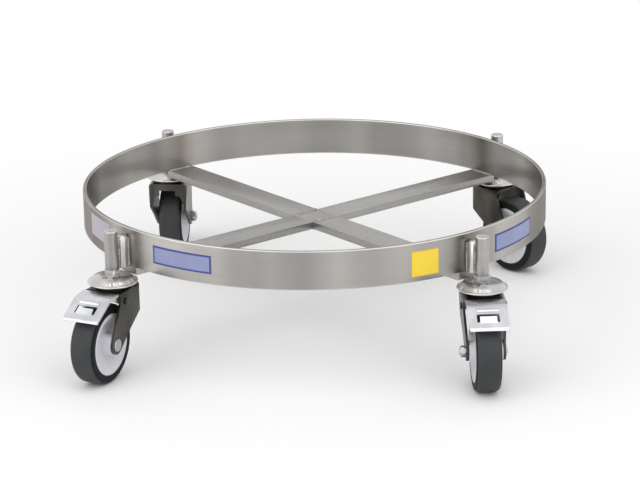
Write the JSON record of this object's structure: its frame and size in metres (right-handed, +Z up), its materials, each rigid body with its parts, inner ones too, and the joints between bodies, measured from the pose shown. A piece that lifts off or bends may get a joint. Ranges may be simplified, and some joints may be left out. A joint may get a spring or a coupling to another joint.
{
  "type": "drum trolley",
  "caption": "Ring-shaped drum trolley of flat stainless bar with crossed bars underneath for the drum to stand on, on swivel casters under outboard posts; the front casters have foot brakes.",
  "frame": {"origin": "on the floor, under the centre of the ring", "axes": "+Z up, -Y towards the front with the braked casters, +X to the right seen from the front"},
  "size_m": [0.61, 0.6383, 0.188],
  "materials": {
    "frame_steel": "rolled stainless bar, lightly brushed",
    "polished_steel": "polished pressed stainless",
    "fork_steel": "tumbled pressed stainless",
    "pedal_steel": "bright pressed steel",
    "fastener_steel": "plain machined steel",
    "tyre_rubber": "matt dark grey rubber",
    "wheel_plastic": "pale grey moulded plastic",
    "shoe_rubber": "black moulded rubber"
  },
  "bodies": {
    "frame": {"drum_ring": "frame_steel", "cross_bar_long": "frame_steel", "cross_bar_short_front": "frame_steel", "cross_bar_short_rear": "frame_steel", "lock_nuts": "fastener_steel", "post_front_left": "frame_steel", "spacer_plate_front_left": "frame_steel", "caster_stem_front_left": "fastener_steel", "swivel_cup_front_left": "polished_steel", "lower_race_front_left": "fastener_steel", "post_front_right": "frame_steel", "spacer_plate_front_right": "frame_steel", "caster_stem_front_right": "fastener_steel", "swivel_cup_front_right": "polished_steel", "lower_race_front_right": "fastener_steel", "post_rear_right": "frame_steel", "spacer_plate_rear_right": "frame_steel", "caster_stem_rear_right": "fastener_steel", "swivel_cup_rear_right": "polished_steel", "lower_race_rear_right": "fastener_steel", "post_rear_left": "frame_steel", "spacer_plate_rear_left": "frame_steel", "caster_stem_rear_left": "fastener_steel", "swivel_cup_rear_left": "polished_steel", "lower_race_rear_left": "fastener_steel"},
    "caster_front_left": {"fork_front_left": "fork_steel", "swivel_bearing_front_left": "fastener_steel", "axle_sleeve_front_left": "fastener_steel", "axle_bolt_front_left": "fastener_steel", "axle_nut_front_left": "fastener_steel", "pedal_pin_front_left": "fastener_steel"},
    "wheel_front_left": {"tyre_front_left": "tyre_rubber", "wheel_centre_front_left": "wheel_plastic"},
    "pedal_front_left": {"brake_pedal_front_left": "pedal_steel", "brake_shoe_front_left": "shoe_rubber"},
    "caster_front_right": {"fork_front_right": "fork_steel", "swivel_bearing_front_right": "fastener_steel", "axle_sleeve_front_right": "fastener_steel", "axle_bolt_front_right": "fastener_steel", "axle_nut_front_right": "fastener_steel", "pedal_pin_front_right": "fastener_steel"},
    "wheel_front_right": {"tyre_front_right": "tyre_rubber", "wheel_centre_front_right": "wheel_plastic"},
    "pedal_front_right": {"brake_pedal_front_right": "pedal_steel", "brake_shoe_front_right": "shoe_rubber"},
    "caster_rear_right": {"fork_rear_right": "fork_steel", "swivel_bearing_rear_right": "fastener_steel", "axle_sleeve_rear_right": "fastener_steel", "axle_bolt_rear_right": "fastener_steel", "axle_nut_rear_right": "fastener_steel"},
    "wheel_rear_right": {"tyre_rear_right": "tyre_rubber", "wheel_centre_rear_right": "wheel_plastic"},
    "caster_rear_left": {"fork_rear_left": "fork_steel", "swivel_bearing_rear_left": "fastener_steel", "axle_sleeve_rear_left": "fastener_steel", "axle_bolt_rear_left": "fastener_steel", "axle_nut_rear_left": "fastener_steel"},
    "wheel_rear_left": {"tyre_rear_left": "tyre_rubber", "wheel_centre_rear_left": "wheel_plastic"}
  },
  "joints": [
    {"name": "swivel_front_left", "type": "hinge", "parent": "frame", "child": "caster_front_left", "pos_m": [-0.23193, -0.23193, 0], "axis": [0, 0, 1], "continuous": true},
    {"name": "roll_front_left", "type": "hinge", "parent": "caster_front_left", "child": "wheel_front_left", "pos_m": [-0.24424, -0.26576, 0.051], "axis": [0.9397, -0.342, 0], "continuous": true},
    {"name": "brake_front_left", "type": "hinge", "parent": "caster_front_left", "child": "pedal_front_left", "pos_m": [-0.23672, -0.24509, 0.103], "axis": [0.9397, -0.342, 0], "range_deg": [0, 10]},
    {"name": "swivel_front_right", "type": "hinge", "parent": "frame", "child": "caster_front_right", "pos_m": [0.23193, -0.23193, 0], "axis": [0, 0, 1], "continuous": true},
    {"name": "roll_front_right", "type": "hinge", "parent": "caster_front_right", "child": "wheel_front_right", "pos_m": [0.23756, -0.26749, 0.051], "axis": [0.9877, 0.1564, 0], "continuous": true},
    {"name": "brake_front_right", "type": "hinge", "parent": "caster_front_right", "child": "pedal_front_right", "pos_m": [0.23412, -0.24576, 0.103], "axis": [0.9877, 0.1564, 0], "range_deg": [0, 10]},
    {"name": "swivel_rear_right", "type": "hinge", "parent": "frame", "child": "caster_rear_right", "pos_m": [0.23193, 0.23193, 0], "axis": [0, 0, 1], "continuous": true},
    {"name": "roll_rear_right", "type": "hinge", "parent": "caster_rear_right", "child": "wheel_rear_right", "pos_m": [0.25783, 0.20692, 0.051], "axis": [0.6947, 0.7193, 0], "continuous": true},
    {"name": "swivel_rear_left", "type": "hinge", "parent": "frame", "child": "caster_rear_left", "pos_m": [-0.23193, 0.23193, 0], "axis": [0, 0, 1], "continuous": true},
    {"name": "roll_rear_left", "type": "hinge", "parent": "caster_rear_left", "child": "wheel_rear_left", "pos_m": [-0.23193, 0.26793, 0.051], "axis": [-1, 0, 0], "continuous": true}
  ]
}
